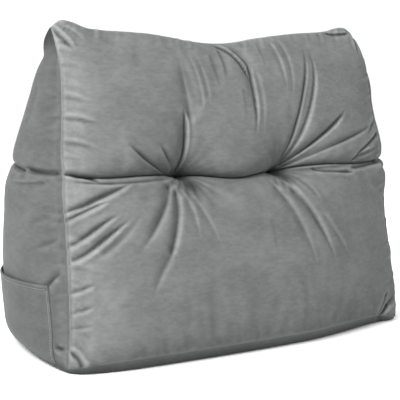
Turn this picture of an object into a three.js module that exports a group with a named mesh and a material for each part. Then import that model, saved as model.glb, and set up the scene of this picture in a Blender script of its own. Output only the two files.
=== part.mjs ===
// A filled triangular cushion: a tufted front face, a plain back, a flat base, two three-cornered
// ends, and a patch pocket on the left end. Millimetres, +Z up. The origin is the middle of the
// base, on the surface that the cushion stands on, and the tufted face looks along -Y.
import * as THREE from "three";

// The cover as it is sewn
const BACK_FOOT = 160; // from the ridge back to the foot of the back side seam
const BACK_FOOT_BOW = 22;
const END_FOOT_BOW = 21;
const BACK_SEAM_BOW = 30; // the back side seams stand out from a straight line

// The filling's crown on the front and the back. END_CROWN holds the crown of the ends.
const FRONT_CROWN = 43;
const BACK_CROWN = 44;

// Where the cushion meets the floor
const CORNER_LIFT = 8; // height of the bottom seam at the corners
const FRONT_LIFT = 18; // and in the middle of the front
const BACK_LIFT = 26;
const END_ROLL = 14; // radius of the roll from the flat base up to an end
const FRONT_ROLL = 14;
const BACK_ROLL = 40;

// The crease that runs round the cushion, and the two tufts in it
const CREASE_T = 0.555; // its place on a side seam, from foot to ridge
const CREASE_SOFT = 16; // the width of its lips
const CREASE_SAG = 9; // how far the fill above hangs over it
const SAG_HEIGHT = 22; // where it hangs most, above the crease
const TUFTS = [-97, 76];
const TUFT_DEPTH = 40;
const TUFT_SOFT = 15;
const TUFT_VALLEY = 12;
const TUFT_VALLEY_SOFT = 60;
const BACK_TUFT_DEPTH = 16;
const BACK_TUFT_SOFT = 48;
const BACK_CREASE_DEPTH = 9;
const BACK_CREASE_SOFT = 45;
const END_CREASE_DEPTH = 7;
const END_CREASE_SOFT = 0.023; // as a share of the way up

// The pocket
const POCKET_TOP = 121; // height of its mouth
const POCKET_BOTTOM_T = 0.006;
const POCKET_SETBACK = 22; // from the front seam back to its front edge
const POCKET_BACK_Q = 0.94; // its back edge, as a share of the end's depth
const POCKET_CLOTH = 2;
const POCKET_HEM = 13; // depth of the folded hem
const POCKET_HEM_CLOTH = 3;
const POCKET_GAP = 0.8;
const POCKET_GAPE = 8; // how far the mouth stands off in its middle

// The side seams: share of the way up, half the width on the left and on the right of the front,
// and how much wider the back is there
const SIDE = [
  { t: 0, left: 300, right: 301, wider: 3 },
  { t: 0.1, left: 294, right: 303, wider: 12 },
  { t: 0.22, left: 290, right: 299, wider: 16 },
  { t: 0.4, left: 287, right: 293, wider: 18 },
  { t: 0.5, left: 287, right: 300, wider: 18 },
  { t: CREASE_T, left: 284, right: 297, wider: 18 },
  { t: 0.62, left: 284, right: 300, wider: 16 },
  { t: 0.75, left: 277, right: 290, wider: 12 },
  { t: 0.88, left: 274, right: 291, wider: 9 },
  { t: 0.95, left: 278, right: 283, wider: 9 },
  { t: 1, left: 282, right: 270, wider: 0 },
];

// The front bottom seam: share of the half width, place in front of the ridge
const FOOT = [
  { u: -1, y: -103 },
  { u: -0.92, y: -123 },
  { u: -0.65, y: -137 },
  { u: 0.25, y: -137 },
  { u: 0.56, y: -122 },
  { u: 0.86, y: -100 },
  { u: 1, y: -99 },
];

// The crown of the ends: share of the way up, how far the middle stands out from the seams
const END_CROWN = [
  { t: 0, out: END_FOOT_BOW },
  { t: 0.03, out: 34 },
  { t: 0.09, out: 38 },
  { t: 0.26, out: 46 },
  { t: 0.47, out: 47 },
  { t: CREASE_T, out: 42 },
  { t: 0.64, out: 35 },
  { t: 0.77, out: 27 },
  { t: 0.87, out: 17 },
  { t: 0.94, out: -8 },
  { t: 1, out: 0 },
];

// The ridge along the top, with a soft ear at each corner: share of the half width, height
const RIDGE = [
  { u: -1, z: 492 },
  { u: -0.94, z: 503 },
  { u: -0.8, z: 492 },
  { u: -0.45, z: 487 },
  { u: -0.12, z: 476 },
  { u: 0.07, z: 478 },
  { u: 0.25, z: 487 },
  { u: 0.5, z: 497 },
  { u: 0.76, z: 504 },
  { u: 0.92, z: 512 },
  { u: 1, z: 492 },
];

// The crease across the front: place along the width, height, depth
const CREASE = [
  { x: -300, z: 280, depth: 10 },
  { x: -235, z: 271, depth: 21 },
  { x: -170, z: 272, depth: 26 },
  { x: -97, z: 276, depth: 37 },
  { x: -10, z: 263, depth: 36 },
  { x: 76, z: 276, depth: 37 },
  { x: 150, z: 277, depth: 27 },
  { x: 240, z: 276, depth: 20 },
  { x: 305, z: 282, depth: 9 },
];

// The main folds of the front: from, to, sideways bow, depth and half width
const FOLDS = [
  // up from the left tuft
  { x0: -104, z0: 277, x1: -196, z1: 320, bow: 4, depth: 7, soft: 15 },
  { x0: -95, z0: 280, x1: -100, z1: 374, bow: -3, depth: 9, soft: 12 },
  { x0: -104, z0: 366, x1: -102, z1: 474, bow: 4, depth: 6, soft: 12 },
  // up from the right tuft
  { x0: 66, z0: 280, x1: 132, z1: 464, bow: 13, depth: 9, soft: 12 },
  { x0: 82, z0: 277, x1: 214, z1: 376, bow: 6, depth: 9, soft: 15 },
  { x0: 88, z0: 276, x1: 258, z1: 344, bow: 5, depth: 8, soft: 13 },
  // from the ridge down the middle
  { x0: 2, z0: 466, x1: 24, z1: 338, bow: 9, depth: 6, soft: 12 },
  // down from the left tuft
  { x0: -100, z0: 260, x1: -204, z1: 162, bow: -10, depth: 8, soft: 16 },
  { x0: -96, z0: 258, x1: -178, z1: 112, bow: -12, depth: 8, soft: 15 },
  // in from the left seam
  { x0: -296, z0: 228, x1: -180, z1: 264, bow: 3, depth: 8, soft: 13 },
  { x0: -298, z0: 164, x1: -196, z1: 228, bow: 3, depth: 8, soft: 15 },
  // down from the right tuft
  { x0: 74, z0: 258, x1: 108, z1: 122, bow: -6, depth: 7, soft: 12 },
  { x0: 92, z0: 250, x1: 176, z1: 136, bow: 8, depth: 7, soft: 14 },
];

// The empty bottom corners of the front dimple in along an arc: side, radius, depth, half width
const CORNER_DIMPLES = [
  { side: -1, radius: 46, depth: 8, soft: 10 },
  { side: 1, radius: 38, depth: 8, soft: 10 },
];

// How finely each panel is divided
const COLUMNS = 56;
const FRONT_ROWS = 44;
const BACK_ROWS = 20;
const BASE_ROWS = 12;
const POCKET_COLUMNS = 16;
const POCKET_ROWS = 12;

const clamp = (v, low, high) => Math.min(high, Math.max(low, v));
const lerp = (a, b, s) => a + (b - a) * s;
const bell = (d, soft) => Math.exp(-((d / soft) ** 2));
const cusp = (d, soft) => Math.exp(-Math.abs(d) / soft);
const ease = (low, high, v) => {
  const s = clamp((v - low) / (high - low), 0, 1);
  return s * s * (3 - 2 * s);
};

// A column of a table, read along a smooth curve through its rows.
function read(rows, key, column, at) {
  let k = 0;
  while (k < rows.length - 2 && at > rows[k + 1][key]) k += 1;
  const [from, to] = [rows[k], rows[k + 1]];
  const span = to[key] - from[key];
  const s = clamp((at - from[key]) / span, 0, 1);
  const slope = (a, b) => ((b[column] - a[column]) / (b[key] - a[key])) * span;
  const [start, end] = [slope(rows[k - 1] ?? from, to), slope(from, rows[k + 2] ?? to)];
  const bend = s * (1 - s) * (start * (1 - s) - end * s);
  return lerp(from[column], to[column], s * s * (3 - 2 * s)) + bend;
}

// Shares from 0 to 1 that lie closer together where the density is higher.
function spread(count, density) {
  const fine = 400;
  const sums = [0];
  for (let k = 0; k < fine; k += 1) sums.push(sums[k] + density((k + 0.5) / fine));
  const shares = [];
  for (let i = 0, k = 0; i <= count; i += 1) {
    const target = (sums[fine] * i) / count;
    while (k < fine - 1 && sums[k + 1] < target) k += 1;
    shares.push((k + (target - sums[k]) / (sums[k + 1] - sums[k])) / fine);
  }
  return shares;
}

// The place along the width of a share u of the half width, at a share t of the way up.
function along(u, t) {
  return u * read(SIDE, "t", u < 0 ? "left" : "right", t);
}

// The three corners of the section at a share u of the half width, as [y, z].
function frontFoot(u) {
  return [read(FOOT, "u", "y", u), lerp(FRONT_LIFT, CORNER_LIFT, u ** 8)];
}
function backFoot(u) {
  return [BACK_FOOT + BACK_FOOT_BOW * (1 - u ** 4), BACK_LIFT];
}
function ridge(u) {
  return [0, read(RIDGE, "u", "z", u)];
}

// The crown's share: full in a panel's middle, none at its seams, where it rises steeply.
const acrossCrown = (u) => Math.sqrt(1 - Math.abs(u) ** 5);
const upCrown = (t) => Math.sqrt(1 - Math.abs(2 * t - 1) ** 4);
const upBackCrown = (t) => (1 - Math.abs(2 * t - 1) ** 2.4) ** 0.7;

// How deep one fold is at a point of the front: a valley along a bowed line, fading at its ends.
function foldDepth(fold, x, z) {
  const [cx, cz] = [fold.x1 - fold.x0, fold.z1 - fold.z0];
  const length = Math.hypot(cx, cz);
  const s = ((x - fold.x0) * cx + (z - fold.z0) * cz) / length ** 2;
  if (s <= 0 || s >= 1) return 0;
  const aside = ((x - fold.x0) * cz - (z - fold.z0) * cx) / length - fold.bow * 4 * s * (1 - s);
  return fold.depth * bell(aside, fold.soft) * ease(0, 0.12, s) * (1 - ease(0.45, 1, s));
}

// How far the front is drawn in at a point: the crease, the tufts, the folds and the dimples.
function frontDraw(x, z, off, fromSeam) {
  let draw = read(CREASE, "x", "depth", x) * cusp(off, CREASE_SOFT);
  for (const tuft of TUFTS) {
    const away = Math.hypot(x - tuft, off);
    draw += TUFT_DEPTH * cusp(away, TUFT_SOFT) + TUFT_VALLEY * bell(away, TUFT_VALLEY_SOFT);
  }
  for (const fold of FOLDS) draw += foldDepth(fold, x, z);
  for (const dimple of CORNER_DIMPLES) {
    if (x * dimple.side > 0)
      draw += dimple.depth * bell(Math.hypot(fromSeam, z) - dimple.radius, dimple.soft);
  }
  return draw;
}

// A point of the front panel, at shares u across and t up.
function frontPoint(u, t) {
  const [foot, top] = [frontFoot(u), ridge(u)];
  const run = Math.hypot(top[0] - foot[0], top[1] - foot[1]);
  const up = [(top[0] - foot[0]) / run, (top[1] - foot[1]) / run];
  const x = along(u, t);
  const z = lerp(foot[1], top[1], t);
  const off = z - read(CREASE, "x", "z", x);
  const fromSeam = (1 - Math.abs(u)) * SIDE[0].left;
  const fade = ease(0, 20, fromSeam) * ease(0, 0.05, t) * (1 - ease(0.95, 1, t));
  const lift =
    FRONT_CROWN * acrossCrown(u) * upCrown(t) - frontDraw(x, z, off, fromSeam) * lerp(0.1, 1, fade);
  const above = Math.max(0, off / SAG_HEIGHT);
  const sag = CREASE_SAG * above * Math.exp(1 - above) * acrossCrown(u);
  const y = lerp(foot[0], top[0], t);
  return new THREE.Vector3(x, y - up[1] * lift - up[0] * sag, z + up[0] * lift - up[1] * sag);
}

// A point of the back panel: a plain crown with a broad crease and two soft tufts.
function backPoint(u, t) {
  const [foot, top] = [backFoot(u), ridge(u)];
  const run = Math.hypot(top[0] - foot[0], top[1] - foot[1]);
  const up = [(top[0] - foot[0]) / run, (top[1] - foot[1]) / run];
  const x = along(u, t) + u ** 3 * read(SIDE, "t", "wider", t);
  const z = lerp(foot[1], top[1], t);
  const off = z - read(CREASE, "x", "z", x);
  let draw = BACK_CREASE_DEPTH * bell(off, BACK_CREASE_SOFT);
  for (const tuft of TUFTS)
    draw += BACK_TUFT_DEPTH * cusp(Math.hypot(x - tuft, off), BACK_TUFT_SOFT);
  const bow = BACK_SEAM_BOW * upCrown(t) * lerp(1, 0.7, t);
  const lift = bow + (BACK_CROWN * upBackCrown(t) - draw) * acrossCrown(u);
  return new THREE.Vector3(x, lerp(foot[0], top[0], t) + up[1] * lift, z - up[0] * lift);
}

// How far an end stands out beyond its seams, full in the middle of its depth.
const acrossEnd = (q) => (1 - Math.abs(2 * q - 1) ** 2.2) ** 0.75;

// A point of the base, at a share s from the front foot to the back foot. It is flat on the
// floor, and rolls up to the seams along a quarter of an ellipse.
function basePoint(u, s) {
  const [front, back] = [frontFoot(u), backFoot(u)];
  const y = lerp(front[0], back[0], s);
  const bow = END_FOOT_BOW * acrossEnd(s);
  const x = along(u, 0) + bow * u;
  const roll = (away, radius, lift) =>
    away < radius ? lift * (1 - Math.sqrt(1 - (1 - away / radius) ** 2)) : 0;
  const atFront = roll(y - front[0], FRONT_ROLL, front[1]);
  const atBack = roll(back[0] - y, BACK_ROLL, back[1]);
  const atEnd = roll((1 - Math.abs(u)) * SIDE[0].left, END_ROLL, CORNER_LIFT);
  return new THREE.Vector3(x, y, Math.max(atFront, atBack, atEnd));
}

// A point of an end, at shares q from the front seam to the back seam and t up.
function endPoint(side, q, t) {
  const [front, back] = [frontPoint(side, t), backPoint(side, t)];
  const [frontBase, backBase] = [frontPoint(side, 0), backPoint(side, 0)];
  const drop = basePoint(side, q).z - lerp(frontBase.z, backBase.z, q);
  const groove = END_CREASE_DEPTH * cusp(t - CREASE_T, END_CREASE_SOFT);
  const bulge = (read(END_CROWN, "t", "out", t) - groove) * acrossEnd(q);
  return new THREE.Vector3(
    lerp(front.x, back.x, q) + side * bulge,
    lerp(front.y, back.y, q),
    lerp(front.z, back.z, q) + drop * (1 - t) ** 3,
  );
}

// Joins points into a closed mesh, a face at a time.
class Shell {
  constructor() {
    this.places = [];
    this.faces = [];
  }
  add(point) {
    this.places.push(point.x, point.y, point.z);
    return this.places.length / 3 - 1;
  }
  face(a, b, c) {
    if (a !== b && b !== c && c !== a) this.faces.push(a, b, c);
  }
  // Fills the strip between two rows of points whose shares along it are known.
  strip(rowA, rowB, turned) {
    let [i, j] = [0, 0];
    while (i < rowA.length - 1 || j < rowB.length - 1) {
      const nextA = i < rowA.length - 1 ? rowA[i + 1].share : Infinity;
      const nextB = j < rowB.length - 1 ? rowB[j + 1].share : Infinity;
      const corner = nextA <= nextB ? rowA[i + 1] : rowB[j + 1];
      const trio = [rowA[i].index, rowB[j].index, corner.index];
      if (turned) trio.reverse();
      this.face(...trio);
      if (nextA <= nextB) i += 1;
      else j += 1;
    }
  }
  geometry() {
    const made = new THREE.BufferGeometry();
    made.setAttribute("position", new THREE.Float32BufferAttribute(this.places, 3));
    made.setIndex(this.faces);
    made.computeVertexNormals();
    return made;
  }
}

const upShares = (rows) =>
  spread(rows, (t) => 1 + 1.6 * bell(t - CREASE_T, 0.07) + 1.5 * bell(t, 0.06) + bell(t - 1, 0.05));
const acrossShares = spread(COLUMNS, (s) => {
  const u = 2 * s - 1;
  const atTufts = bell(u * SIDE[0].left - TUFTS[0], 45) + bell(u * SIDE[0].right - TUFTS[1], 45);
  return 1 + 1.2 * atTufts + 1.8 * bell(1 - Math.abs(u), 0.06);
});

// The cushion: one filled solid. Each column of points runs up the front, down the back and
// forward along the base, and the two ends are filled between their seams.
function cushionGeometry() {
  const shell = new Shell();
  const frontShares = upShares(FRONT_ROWS);
  const backShares = upShares(BACK_ROWS);
  const baseShares = spread(BASE_ROWS, (s) => 1 + 2 * bell(s, 0.1) + 2 * bell(s - 1, 0.14));
  const columns = acrossShares.map((share) => {
    const u = clamp(2 * share - 1, -1, 1);
    const front = frontShares.map((t) => ({ share: t, index: shell.add(frontPoint(u, t)) }));
    const back = backShares
      .slice(0, -1)
      .map((t) => ({ share: t, index: shell.add(backPoint(u, t)) }));
    back.push(front[FRONT_ROWS]);
    const inner = baseShares.slice(1, -1).map((s) => ({ share: s, index: shell.add(basePoint(u, s)) }));
    const base = [{ share: 0, index: front[0].index }, ...inner, { share: 1, index: back[0].index }];
    return { front, back, base };
  });
  for (let k = 0; k < COLUMNS; k += 1) {
    shell.strip(columns[k].front, columns[k + 1].front, false);
    shell.strip(columns[k].back, columns[k + 1].back, true);
    shell.strip(columns[k].base, columns[k + 1].base, true);
  }
  for (const side of [-1, 1]) {
    const { front, back, base } = columns[side < 0 ? 0 : COLUMNS];
    const lines = base.map((foot, j) => {
      if (j === 0) return front;
      if (j === BASE_ROWS) return back;
      const middle = backShares
        .slice(1, -1)
        .map((t) => ({ share: t, index: shell.add(endPoint(side, foot.share, t)) }));
      return [{ share: 0, index: foot.index }, ...middle, front[FRONT_ROWS]];
    });
    for (let j = 0; j < BASE_ROWS; j += 1) shell.strip(lines[j], lines[j + 1], side < 0);
  }
  return shell.geometry();
}

// The pocket: a sheet that lies on the left end, sewn down in front, behind and below, with its
// mouth a little open. Its inner and outer faces are the end's surface, moved out.
function pocketGeometry() {
  const shell = new Shell();
  const step = 1e-3;
  const out = (q, t) => {
    const here = endPoint(-1, q, t);
    const alongQ = endPoint(-1, q + step, t).sub(here);
    const alongT = endPoint(-1, q, t + step).sub(here);
    return { here, normal: alongT.cross(alongQ).normalize() };
  };
  const shareAt = (q, height) => {
    let [low, high] = [0, 0.5];
    for (let k = 0; k < 30; k += 1) {
      const middle = (low + high) / 2;
      if (endPoint(-1, q, middle).z < height) low = middle;
      else high = middle;
    }
    return low;
  };
  const frontShare = (t) => POCKET_SETBACK / (backPoint(-1, t).y - frontPoint(-1, t).y);
  const mouthStart = frontShare(shareAt(0, POCKET_TOP));
  const faces = [[], []];
  for (let i = 0; i <= POCKET_COLUMNS; i += 1) {
    const a = i / POCKET_COLUMNS;
    faces[0].push([]);
    faces[1].push([]);
    for (let j = 0; j <= POCKET_ROWS; j += 1) {
      const b = j / POCKET_ROWS;
      const mouthT = shareAt(lerp(mouthStart, POCKET_BACK_Q, a), POCKET_TOP);
      const t = lerp(POCKET_BOTTOM_T, mouthT, b);
      const q = lerp(frontShare(t), POCKET_BACK_Q, a);
      const { here, normal } = out(q, t);
      const gape = POCKET_GAPE * Math.sin(Math.PI * a) ** 2 * Math.sin((Math.PI / 2) * b);
      const height = (1 - b) * (POCKET_TOP - CORNER_LIFT);
      const cloth = height < POCKET_HEM ? POCKET_HEM_CLOTH : POCKET_CLOTH;
      const gap = POCKET_GAP + gape;
      faces[0][i].push(shell.add(here.clone().addScaledVector(normal, gap)));
      faces[1][i].push(shell.add(here.clone().addScaledVector(normal, gap + cloth)));
    }
  }
  const quad = (a, b, c, d) => {
    shell.face(a, b, c);
    shell.face(a, c, d);
  };
  const [inner, outer] = faces;
  const [last, top] = [POCKET_COLUMNS, POCKET_ROWS];
  for (let i = 0; i < POCKET_COLUMNS; i += 1) {
    for (let j = 0; j < POCKET_ROWS; j += 1) {
      quad(inner[i][j], inner[i + 1][j], inner[i + 1][j + 1], inner[i][j + 1]);
      quad(outer[i][j], outer[i][j + 1], outer[i + 1][j + 1], outer[i + 1][j]);
    }
    quad(inner[i][0], outer[i][0], outer[i + 1][0], inner[i + 1][0]);
    quad(inner[i][top], inner[i + 1][top], outer[i + 1][top], outer[i][top]);
  }
  for (let j = 0; j < POCKET_ROWS; j += 1) {
    quad(inner[0][j], inner[0][j + 1], outer[0][j + 1], outer[0][j]);
    quad(inner[last][j], outer[last][j], outer[last][j + 1], inner[last][j + 1]);
  }
  return shell.geometry();
}

const velvet = () => new THREE.MeshStandardMaterial({ color: 0x868988, roughness: 0.85, metalness: 0 });

const cushion = new THREE.Mesh(cushionGeometry(), velvet());
cushion.name = "cushion";
const pocket = new THREE.Mesh(pocketGeometry(), velvet());
pocket.name = "pocket";

const wedge = new THREE.Group();
wedge.add(cushion, pocket);

export default wedge;
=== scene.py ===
"""A velvet triangular cushion that stands on its base: the filled cover with its tufted front, and
the patch pocket on its left end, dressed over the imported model. Shapes are worked out in
millimetres, in the model's own frame, and go into the meshes in metres."""

import math

import bpy
import numpy as np
from bpy.props import FloatProperty, FloatVectorProperty, IntProperty, PointerProperty
from bpy.types import Operator, Panel, PropertyGroup
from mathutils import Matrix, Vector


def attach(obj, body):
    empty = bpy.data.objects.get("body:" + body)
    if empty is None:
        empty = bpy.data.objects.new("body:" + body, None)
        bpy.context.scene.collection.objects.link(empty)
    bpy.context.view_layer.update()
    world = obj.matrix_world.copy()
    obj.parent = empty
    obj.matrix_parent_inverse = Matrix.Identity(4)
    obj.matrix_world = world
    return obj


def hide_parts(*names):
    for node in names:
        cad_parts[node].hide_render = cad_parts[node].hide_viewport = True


bl_info = {
    "name": "Triangular cushion",
    "version": (1, 0, 0),
    "blender": (4, 5, 0),
    "location": "3D View > Sidebar > Cushion",
    "description": "Makes a tufted velvet back-rest cushion with a patch pocket",
    "category": "Add Mesh",
}

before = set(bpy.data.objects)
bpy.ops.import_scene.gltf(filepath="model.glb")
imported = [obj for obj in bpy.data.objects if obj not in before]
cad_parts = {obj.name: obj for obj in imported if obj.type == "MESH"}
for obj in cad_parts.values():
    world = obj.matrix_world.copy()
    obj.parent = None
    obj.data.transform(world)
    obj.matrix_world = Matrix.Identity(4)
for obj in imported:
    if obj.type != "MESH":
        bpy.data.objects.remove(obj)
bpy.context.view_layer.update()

MM = 0.001

# The cover as it is sewn, in millimetres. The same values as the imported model's.
BACK_FOOT = 160
BACK_FOOT_BOW = 22
END_FOOT_BOW = 21
BACK_SEAM_BOW = 30
CORNER_LIFT = 8
FRONT_LIFT = 18
BACK_LIFT = 26
END_ROLL = 14
FRONT_ROLL = 14
BACK_ROLL = 40
CREASE_T = 0.555
CREASE_SOFT = 16
CREASE_SAG = 9
SAG_HEIGHT = 22
TUFTS = (-97, 76)
TUFT_SOFT = 15
TUFT_VALLEY = 12
TUFT_VALLEY_SOFT = 60
BACK_TUFT_DEPTH = 16
BACK_TUFT_SOFT = 48
BACK_CREASE_DEPTH = 9
BACK_CREASE_SOFT = 45
END_CREASE_DEPTH = 7
END_CREASE_SOFT = 0.023
HALF_WIDTH = 300
RIM = 20  # the relief of the front fades out over this strip beside the side seams
FOOT_RIM, TOP_RIM = 0.05, 0.95  # and below and above these shares of the way up
TUFT_HALF_WIDTH = 286  # half the width of the front at its tufts
PANEL_RUN = 480  # from a panel's foot to the ridge
END_RUN = 280  # from an end's front seam to its back seam

# The side seams: share of the way up, half the width on the left and on the right of the front,
# and how much wider the back is there
SIDE = np.array([
    (0, 300, 301, 3),
    (0.1, 294, 303, 12),
    (0.22, 290, 299, 16),
    (0.4, 287, 293, 18),
    (0.5, 287, 300, 18),
    (CREASE_T, 284, 297, 18),
    (0.62, 284, 300, 16),
    (0.75, 277, 290, 12),
    (0.88, 274, 291, 9),
    (0.95, 278, 283, 9),
    (1, 282, 270, 0),
])
LEFT, RIGHT, WIDER = 1, 2, 3

# The front bottom seam: share of the half width, place in front of the ridge
FOOT = np.array([
    (-1, -103), (-0.92, -123), (-0.65, -137), (0.25, -137), (0.56, -122), (0.86, -100), (1, -99),
])

# The crown of the ends: share of the way up, how far the middle stands out from the seams
END_CROWN = np.array([
    (0, END_FOOT_BOW), (0.03, 34), (0.09, 38), (0.26, 46), (0.47, 47), (CREASE_T, 42), (0.64, 35),
    (0.77, 27), (0.87, 17), (0.94, -8), (1, 0),
])

# The ridge along the top: share of the half width, height
RIDGE = np.array([
    (-1, 492), (-0.94, 503), (-0.8, 492), (-0.45, 487), (-0.12, 476), (0.07, 478), (0.25, 487),
    (0.5, 497), (0.76, 504), (0.92, 512), (1, 492),
])

# The crease across the front: place along the width, height, depth
CREASE = np.array([
    (-300, 280, 10), (-235, 271, 21), (-170, 272, 26), (-97, 276, 37), (-10, 263, 36),
    (76, 276, 37), (150, 277, 27), (240, 276, 20), (305, 282, 9),
])
HEIGHT, DEPTH = 1, 2

# The folds of the front: from x, z, to x, z, sideways bow, skew of the bow towards the end, depth,
# half width, lip, and the share of its length at which it starts to fade. A lip is the rise
# beside the valley, on the right-hand side of the way it runs, or on the left if negative.
BROAD_FOLDS = (
    # up from the left tuft
    (-104, 274, -200, 316, -7, 0, 7, 13, 0, 0.45),
    (-105, 278, -101, 366, 1, 0, 6, 10, 0, 0.45),
    (-90, 344, -94, 462, 0, 0, 4, 12, 0, 0.45),
    # up from the right tuft
    (78, 277, 141, 465, 12, 8, 6, 11, 0, 0.45),
    (78, 280, 200, 359, 4, 8, 8, 12, 0, 0.45),
    (80, 278, 271, 342, 2, 8, 7, 12, 0, 0.5),
    # from the ridge down the middle
    (8, 472, 20, 342, -14, 0, 5, 12, 0, 0.4),
    # down from the left tuft
    (-130, 262, -209, 158, -7, 0, 4, 11, 0, 0.45),
    (-124, 256, -186, 106, -10, 0, 4, 11, 0, 0.45),
    # in from the left seam
    (-300, 223, -192, 261, 1, 0, 4, 9, 0, 0.5),
    (-300, 202, -236, 233, -6, 0, 3, 8, 0, 0.5),
    (-300, 168, -222, 217, -3, 0, 2, 8, 0, 0.5),
    (-300, 147, -206, 210, 0, 0, 1.2, 8, 0, 0.5),
    # down from the right tuft
    (44, 246, 96, 119, -8, 0, 4, 11, 0, 0.45),
    (68, 244, 138, 114, -9, 0, 4, 11, 0, 0.45),
)

# The sharp folds that lie in and beside them
SHARP_FOLDS = (
    # up from the left tuft
    (-102, 274, -202, 319, -7, 0, 4.6, 2.4, -1.0, 0.6),
    (-102, 277, -149, 318, -3, 0, 3.4, 2.4, -0.8, 0.6),
    (-103, 278, -101, 366, 2, 0, 3.8, 1.9, 2.8, 0.7),
    (-89, 336, -94, 450, -3, 0, 1.6, 3.4, 0.3, 0.3),
    (-71, 362, -82, 460, 5, 0, 1.4, 3.2, 0.4, 0.4),
    (-59, 374, -70, 464, 5, 0, 1.1, 3.0, 0.3, 0.4),
    # in the middle, down from the ridge
    (-18, 462, -20, 402, -4, 0, 1.7, 3.4, 0.6, 0.4),
    (-37, 452, -34, 390, -2, 0, 1.1, 3.6, 0.5, 0.4),
    (-22, 469, 26, 404, -10, 0, 1.6, 1.9, -5.4, 0.7),
    (28, 436, 16, 318, -6, 0, 3.0, 2.2, -0.7, 0.5),
    (37, 424, 29, 322, -5, 0, 1.2, 3.2, -0.6, 0.4),
    (8, 396, 3, 340, -2, 0, 0.6, 3.4, 0.3, 0.4),
    (56, 480, 58, 420, -2, 0, 0.8, 3.2, 0.4, 0.4),
    (79, 480, 86, 386, -4, 0, 1.9, 3.0, -0.6, 0.4),
    (97, 480, 90, 368, -9, 0, 1.4, 3.0, -0.4, 0.4),
    # up from the right tuft
    (77, 276, 140, 476, 8, 8, 3.2, 2.2, 0.3, 0.6),
    (78, 276, 149, 474, 20, 9, 2.9, 2.2, 0.3, 0.6),
    (77, 278, 206, 366, 4, 8, 4.4, 2.1, 0.3, 0.75),
    (79, 276, 286, 350, 2, 8, 3.0, 2.4, 0.4, 0.6),
    (292, 330, 210, 277, 3, 0, 4.8, 2.2, 0.8, 0.8),
    (292, 354, 250, 321, 2, 0, 2.4, 2.6, 1.2, 0.5),
    (262, 300, 212, 279, 1, 0, 2.6, 2.2, 1.6, 0.6),
    (276, 303, 232, 288, -1, 0, 1.8, 2.0, 1.2, 0.6),
    # beside the right ear
    (200, 500, 250, 500, 4, 0, 3.6, 2.0, -1.8, 0.8),
    (262, 506, 262, 452, 4, 0, 2.4, 2.4, 1.4, 0.5),
    (259, 498, 255, 460, -3, 0, 1.6, 2.8, 1.0, 0.5),
    # beside the left ear
    (-285, 495, -255, 452, 0, 0, 3.0, 2.2, -2.8, 0.6),
    (-268, 490, -240, 462, -2, 0, 1.2, 3.0, -1.0, 0.5),
    # the lips of the crease
    (76, 274, 214, 273, 3, 0, 4.0, 2.4, -1.0, 0.75),
    (128, 268, 216, 260, 2, 0, 6.4, 2.4, 1.2, 0.8),
    (306, 279, 206, 265, -1, 0, 6.6, 2.4, -1.6, 0.8),
    (-300, 282, -236, 264, -3, 0, 7.0, 2.3, 1.8, 0.8),
    (-120, 268, -280, 268, -7, 0, 4.8, 2.4, -1.0, 0.8),
    # in from the left seam
    (-301, 221, -188, 263, 1, 0, 4.4, 2.6, 3.0, 0.7),
    (-301, 202, -232, 235, -6, 0, 3.6, 2.3, 4.0, 0.7),
    (-301, 166, -218, 219, -3, 0, 3.0, 2.4, 4.2, 0.5),
    (-301, 146, -202, 213, 0, 0, 3.4, 2.4, 3.6, 0.5),
    (-256, 160, -186, 220, 4, 0, 1.0, 3.4, 0.6, 0.4),
    (-301, 107, -262, 126, 0, 0, 2.6, 2.2, 3.2, 0.5),
    (-301, 80, -266, 96, 0, 0, 2.0, 2.2, 2.6, 0.5),
    (-301, 63, -270, 68, 0, 0, 1.6, 2.2, 2.0, 0.5),
    (-296, 399, -240, 372, 0, 0, 1.6, 2.8, -1.6, 0.4),
    (-297, 365, -232, 344, 0, 0, 2.4, 2.8, -2.2, 0.4),
    (-296, 329, -238, 310, 0, 0, 2.0, 2.8, -1.8, 0.4),
    # down from the left tuft
    (-98, 274, -142, 246, 0, 0, 1.4, 5.0, 0, 0.7),
    (-130, 263, -212, 152, -8, 0, 2.3, 3.6, -0.8, 0.45),
    (-98, 273, -130, 236, 0, 0, 1.4, 5.0, 0, 0.7),
    (-125, 256, -158, 146, -6, 0, 2.7, 3.2, -1.1, 0.85),
    (-154, 154, -190, 96, 3, 0, 1.6, 3.8, -0.6, 0.4),
    (-97, 271, -121, 234, 0, 0, 1.2, 5.0, 0, 0.7),
    (-122, 252, -107, 164, -5, 0, 1.6, 3.4, -0.7, 0.4),
    (-114, 254, -70, 150, -3, 0, 1.4, 3.4, -0.6, 0.4),
    # down from the right tuft
    (74, 272, 46, 236, 0, 0, 1.6, 5.0, 0, 0.6),
    (40, 258, 97, 106, -9, 0, 1.6, 3.6, -0.8, 0.5),
    (76, 270, 70, 234, 0, 0, 1.6, 5.0, 0, 0.6),
    (62, 258, 140, 104, -11, 0, 1.7, 3.2, -1.5, 0.45),
    (122, 196, 176, 112, 0, 0, 1.0, 3.6, -0.6, 0.5),
    (96, 252, 126, 208, -3, 0, 0.9, 2.8, -0.8, 0.5),
    (23, 196, 24, 134, -2, 0, 0.4, 4.0, 0.2, 0.5),
    # the empty bottom corners
    (-303, 38, -283, 6, -4, 0, 5.0, 2.4, -3.2, 0.9),
    (270, 56, 254, 8, 2, 0, 2.6, 2.8, 0.8, 0.6),
    (284, 34, 258, 2, 2, 0, 4.4, 2.6, -1.0, 0.8),
)

# A fold's two sides and the place of its lip, in half widths
STEEP, SLOW, LIP_PLACE = 0.9, 2.1, 1.9

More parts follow.
